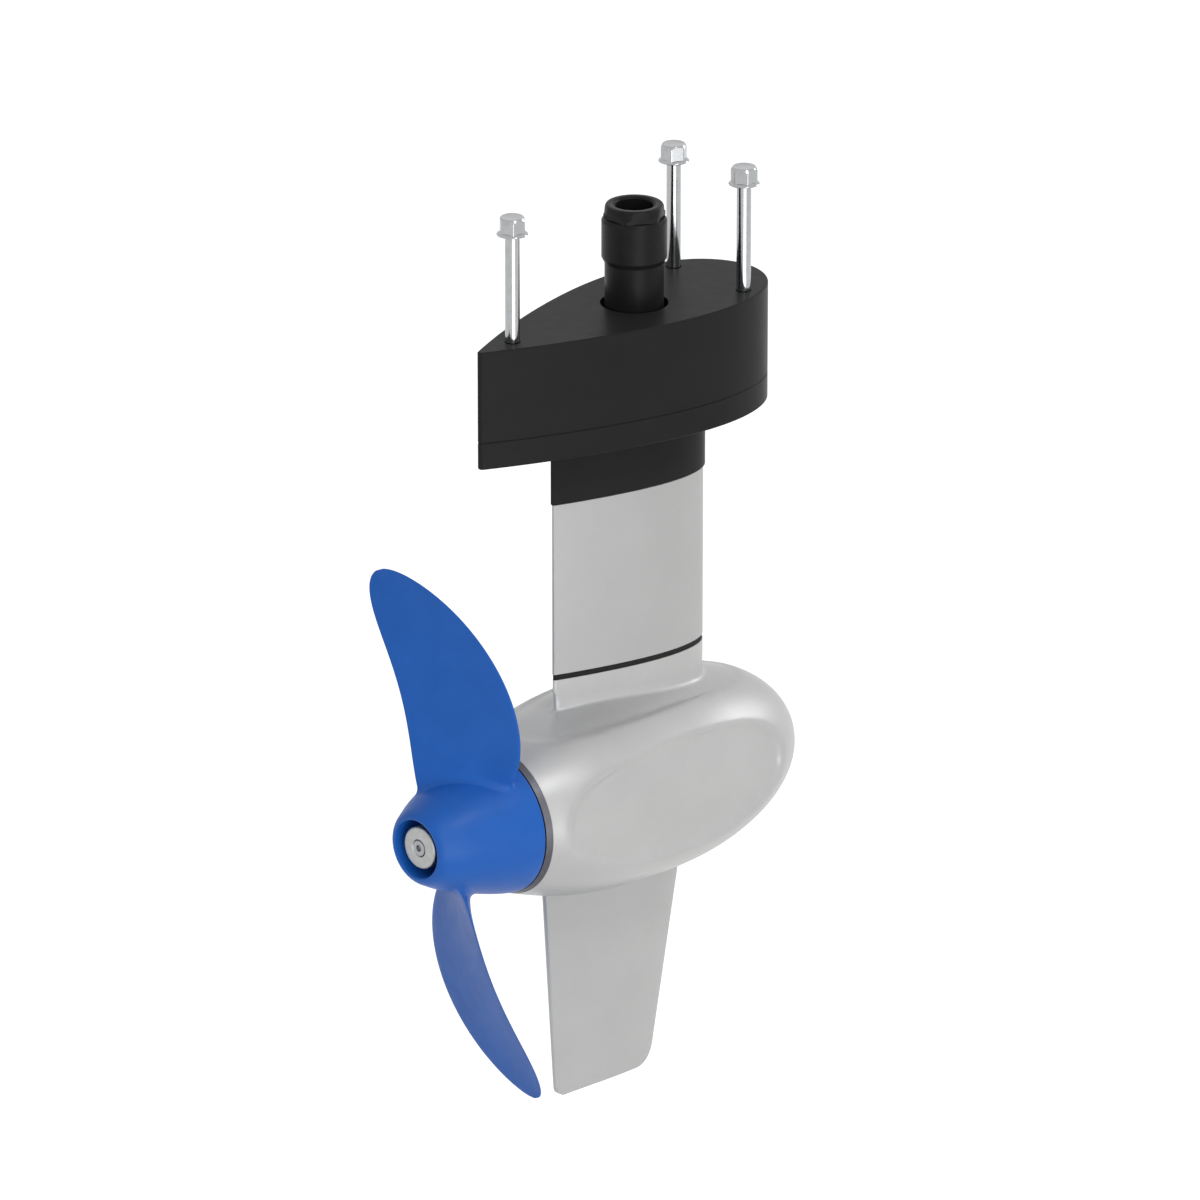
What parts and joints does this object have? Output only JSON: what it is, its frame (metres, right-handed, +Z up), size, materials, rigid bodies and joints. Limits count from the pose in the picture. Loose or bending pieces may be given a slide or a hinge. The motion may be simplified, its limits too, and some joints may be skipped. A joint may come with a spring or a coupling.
{
  "type": "electric outboard pod drive",
  "caption": "Fixed under-hull electric pod drive: foil-shaped hull block and column, cast pod with a direct-drive motor, skeg fin, swept two-blade propeller and cable gland.",
  "frame": {"origin": "middle of the cable hole in the flat hull face on top of the block", "axes": "+X ahead (pod nose), +Y port, +Z up into the hull; the propeller turns about X"},
  "size_m": [0.275, 0.1338, 0.5253],
  "materials": {
    "hull_plastic": "fine moulded texture",
    "gland_plastic": "smooth moulded polyamide",
    "silver_paint": "silver grey satin paint on cast aluminium",
    "fin_paint": "silver grey satin paint",
    "column_paint": "silver grey satin paint",
    "seal_rubber": "black nitrile rubber",
    "propeller_blue": "blue glass-filled nylon, satin",
    "stainless": "bright stainless steel",
    "bolt_steel": "polished stainless steel",
    "anode_metal": "cast sacrificial aluminium",
    "cover_metal": "hard anodised grey aluminium",
    "inner_aluminium": "machined",
    "brass": "turned",
    "lamination": "laminated electrical steel",
    "copper_winding": "enamelled copper wire",
    "magnet": "nickel plated magnet",
    "board_green": "solder resist",
    "component_black": "moulded electronic package",
    "bronze": "bearing bronze"
  },
  "bodies": {
    "housing": {"hull_block": "hull_plastic", "base_flange": "hull_plastic", "hull_bolts": "bolt_steel", "bolt_inserts": "brass", "gland_stem": "gland_plastic", "gland_body": "gland_plastic", "gland_cap": "gland_plastic", "gland_seal": "seal_rubber", "pylon": "column_paint", "collar_seal": "seal_rubber", "neck_seal": "seal_rubber", "tie_bolts": "stainless", "tie_washers": "stainless", "pod_housing": "silver_paint", "skeg_fin": "fin_paint", "fin_screws": "stainless", "stator_core": "lamination", "stator_coils": "copper_winding", "rear_bearing_outer": "stainless", "front_bearing_outer": "stainless", "rear_cover": "cover_metal", "cover_screws": "stainless", "cover_oring": "seal_rubber", "shaft_seals": "seal_rubber", "bearing_carrier": "inner_aluminium", "carrier_screws": "stainless", "preload_spring": "stainless", "heat_spreader": "inner_aluminium", "controller_board": "board_green", "power_transistors": "component_black", "board_capacitors": "component_black", "board_spacers": "brass"},
    "screw": {"propeller": "propeller_blue", "thrust_washer": "bronze", "drive_pin": "stainless", "prop_washer": "stainless", "prop_nut": "stainless", "anode": "anode_metal", "anode_screw": "stainless", "prop_shaft": "stainless", "rotor_core": "lamination", "rotor_magnets": "magnet", "rotor_key": "stainless", "rotor_circlip": "stainless", "rear_bearing_inner": "stainless", "front_bearing_inner": "stainless"}
  },
  "joints": [
    {"name": "propeller_spin", "type": "hinge", "parent": "housing", "child": "screw", "pos_m": [-0.1069, 0, -0.2752], "axis": [1, 0, 0], "continuous": true}
  ]
}
